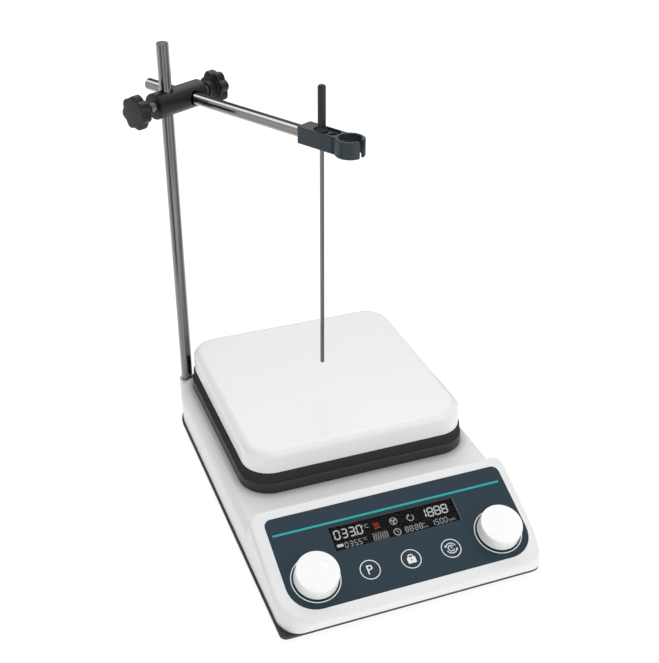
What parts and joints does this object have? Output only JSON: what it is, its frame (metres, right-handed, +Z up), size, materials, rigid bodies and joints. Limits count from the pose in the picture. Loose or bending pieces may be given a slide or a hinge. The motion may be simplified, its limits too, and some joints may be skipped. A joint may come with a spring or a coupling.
{
  "type": "hotplate stirrer",
  "caption": "Laboratory hotplate stirrer: square plate, sloping panel with dials and keys, rear rod with boss head, crossbar, sensor clip and temperature probe.",
  "frame": {"origin": "middle of the footprint's bounding box, at the undersides of the feet", "axes": "+Z up, controls towards -Y, mains inlet towards +Y"},
  "size_m": [0.181, 0.2739, 0.2605],
  "materials": {
    "upper_housing": "satin white moulding",
    "base_tray": "matte dark moulding",
    "control_fascia": "matte dark blue-grey panel",
    "display_window": "glossy black window",
    "display_module": "glossy",
    "control_board": "matte",
    "program_switch": "matte",
    "lock_switch": "matte",
    "timer_switch": "matte",
    "left_encoder_body": "plain",
    "right_encoder_body": "plain",
    "power_board": "matte",
    "motor_body": "plain",
    "motor_bracket": "plain",
    "hot_plate": "white enamel",
    "heater_disc": "matte",
    "insulation_frame": "matte black moulding",
    "heat_shield": "plain",
    "plate_pillar_1": "plain",
    "plate_pillar_2": "plain",
    "plate_pillar_3": "plain",
    "plate_pillar_4": "plain",
    "rocker_bezel": "matte",
    "mains_inlet": "matte",
    "live_pin": "plain",
    "neutral_pin": "plain",
    "earth_pin": "plain",
    "fuse_holder": "matte",
    "probe_socket": "plain",
    "foot_1": "matte",
    "foot_2": "matte",
    "foot_3": "matte",
    "foot_4": "matte",
    "rod_insert": "plain",
    "left_encoder_rotor": "plain",
    "right_encoder_rotor": "plain",
    "left_knob": "satin white moulding",
    "left_shaft": "plain",
    "right_knob": "satin white moulding",
    "right_shaft": "plain",
    "program_key": "matte",
    "lock_key": "matte",
    "timer_key": "matte",
    "power_rocker": "glossy black",
    "fuse_cap": "matte",
    "fuse": "clear glass tube",
    "magnet_rotor": "plain",
    "drive_magnet_1": "plain",
    "drive_magnet_2": "plain",
    "support_rod": "polished",
    "boss_head": "satin black",
    "rod_clamp_knob": "satin black moulding",
    "rod_clamp_screw": "plain",
    "bar_clamp_knob": "satin black moulding",
    "bar_clamp_screw": "plain",
    "crossbar": "polished",
    "sensor_clip": "matte dark blue-grey moulding",
    "probe_handle": "satin black",
    "probe_sheath": "polished"
  },
  "bodies": {
    "housing": {"upper_housing": "upper_housing", "base_tray": "base_tray", "control_fascia": "control_fascia", "display_window": "display_window", "display_module": "display_module", "control_board": "control_board", "program_switch": "program_switch", "lock_switch": "lock_switch", "timer_switch": "timer_switch", "left_encoder_body": "left_encoder_body", "right_encoder_body": "right_encoder_body", "power_board": "power_board", "motor_body": "motor_body", "motor_bracket": "motor_bracket", "hot_plate": "hot_plate", "heater_disc": "heater_disc", "insulation_frame": "insulation_frame", "heat_shield": "heat_shield", "plate_pillar_1": "plate_pillar_1", "plate_pillar_2": "plate_pillar_2", "plate_pillar_3": "plate_pillar_3", "plate_pillar_4": "plate_pillar_4", "rocker_bezel": "rocker_bezel", "mains_inlet": "mains_inlet", "live_pin": "live_pin", "neutral_pin": "neutral_pin", "earth_pin": "earth_pin", "fuse_holder": "fuse_holder", "probe_socket": "probe_socket", "foot_1": "foot_1", "foot_2": "foot_2", "foot_3": "foot_3", "foot_4": "foot_4", "rod_insert": "rod_insert"},
    "left_encoder": {"left_encoder_rotor": "left_encoder_rotor"},
    "right_encoder": {"right_encoder_rotor": "right_encoder_rotor"},
    "left_dial": {"left_knob": "left_knob", "left_shaft": "left_shaft"},
    "right_dial": {"right_knob": "right_knob", "right_shaft": "right_shaft"},
    "program_button": {"program_key": "program_key"},
    "lock_button": {"lock_key": "lock_key"},
    "timer_button": {"timer_key": "timer_key"},
    "rocker": {"power_rocker": "power_rocker"},
    "fuse_carrier": {"fuse_cap": "fuse_cap", "fuse": "fuse"},
    "magnet_drive": {"magnet_rotor": "magnet_rotor", "drive_magnet_1": "drive_magnet_1", "drive_magnet_2": "drive_magnet_2"},
    "stand": {"support_rod": "support_rod"},
    "boss": {"boss_head": "boss_head"},
    "rod_clamp": {"rod_clamp_knob": "rod_clamp_knob", "rod_clamp_screw": "rod_clamp_screw"},
    "bar_clamp": {"bar_clamp_knob": "bar_clamp_knob", "bar_clamp_screw": "bar_clamp_screw"},
    "bar": {"crossbar": "crossbar"},
    "clip": {"sensor_clip": "sensor_clip"},
    "probe": {"probe_handle": "probe_handle", "probe_sheath": "probe_sheath"}
  },
  "joints": [
    {"name": "left_dial_turn", "type": "hinge", "parent": "housing", "child": "left_encoder", "pos_m": [-0.04622, -0.11541, 0.02332], "axis": [0, -0.3691, 0.9294], "continuous": true},
    {"name": "left_dial_press", "type": "slide", "parent": "left_encoder", "child": "left_dial", "axis": [0, 0.3691, -0.9294], "range_m": [0, 0.0005], "stiffness_N_per_m": 6000, "springref_m": -0.0001},
    {"name": "right_dial_turn", "type": "hinge", "parent": "housing", "child": "right_encoder", "pos_m": [0.06458, -0.11541, 0.02332], "axis": [0, -0.3691, 0.9294], "continuous": true},
    {"name": "right_dial_press", "type": "slide", "parent": "right_encoder", "child": "right_dial", "axis": [0, 0.3691, -0.9294], "range_m": [0, 0.0005], "stiffness_N_per_m": 6000, "springref_m": -0.0001},
    {"name": "program_press", "type": "slide", "parent": "housing", "child": "program_button", "axis": [0, 0.3691, -0.9294], "range_m": [0, 0.0005], "stiffness_N_per_m": 3000, "springref_m": -0.0001},
    {"name": "lock_press", "type": "slide", "parent": "housing", "child": "lock_button", "axis": [0, 0.3691, -0.9294], "range_m": [0, 0.0005], "stiffness_N_per_m": 3000, "springref_m": -0.0001},
    {"name": "timer_press", "type": "slide", "parent": "housing", "child": "timer_button", "axis": [0, 0.3691, -0.9294], "range_m": [0, 0.0005], "stiffness_N_per_m": 3000, "springref_m": -0.0001},
    {"name": "power_rock", "type": "hinge", "parent": "housing", "child": "rocker", "pos_m": [0.00989, 0.10599, 0.0156], "axis": [-1, 0, 0], "range_deg": [0, 16]},
    {"name": "fuse_pull", "type": "slide", "parent": "housing", "child": "fuse_carrier", "axis": [0, 1, 0], "range_m": [0, 0.03]},
    {"name": "magnet_spin", "type": "hinge", "parent": "housing", "child": "magnet_drive", "pos_m": [0.00918, 0.02519, 0.0338], "axis": [0, 0, 1], "continuous": true},
    {"name": "rod_turn", "type": "hinge", "parent": "housing", "child": "stand", "pos_m": [-0.06292, 0.09619, 0.0286], "axis": [0, 0, 1], "continuous": true},
    {"name": "boss_height", "type": "slide", "parent": "stand", "child": "boss", "axis": [0, 0, 1], "range_m": [-0.018, 0.026]},
    {"name": "rod_clamp_turn", "type": "hinge", "parent": "boss", "child": "rod_clamp", "pos_m": [-0.07205, 0.09121, 0.2242], "axis": [-0.878, -0.4787, 0], "range_deg": [0, 540]},
    {"name": "bar_clamp_turn", "type": "hinge", "parent": "boss", "child": "bar_clamp", "pos_m": [-0.03904, 0.10921, 0.2242], "axis": [0.878, 0.4787, 0], "range_deg": [0, 540]},
    {"name": "bar_slide", "type": "slide", "parent": "boss", "child": "bar", "axis": [0.4787, -0.878, 0], "range_m": [-0.075, 0.025]},
    {"name": "clip_tilt", "type": "hinge", "parent": "bar", "child": "clip", "pos_m": [-0.00266, 0.02118, 0.2242], "axis": [0.4787, -0.878, 0], "range_deg": [-45, 45]},
    {"name": "probe_lift", "type": "slide", "parent": "clip", "child": "probe", "axis": [0, 0, 1], "range_m": [0, 0.155]}
  ]
}
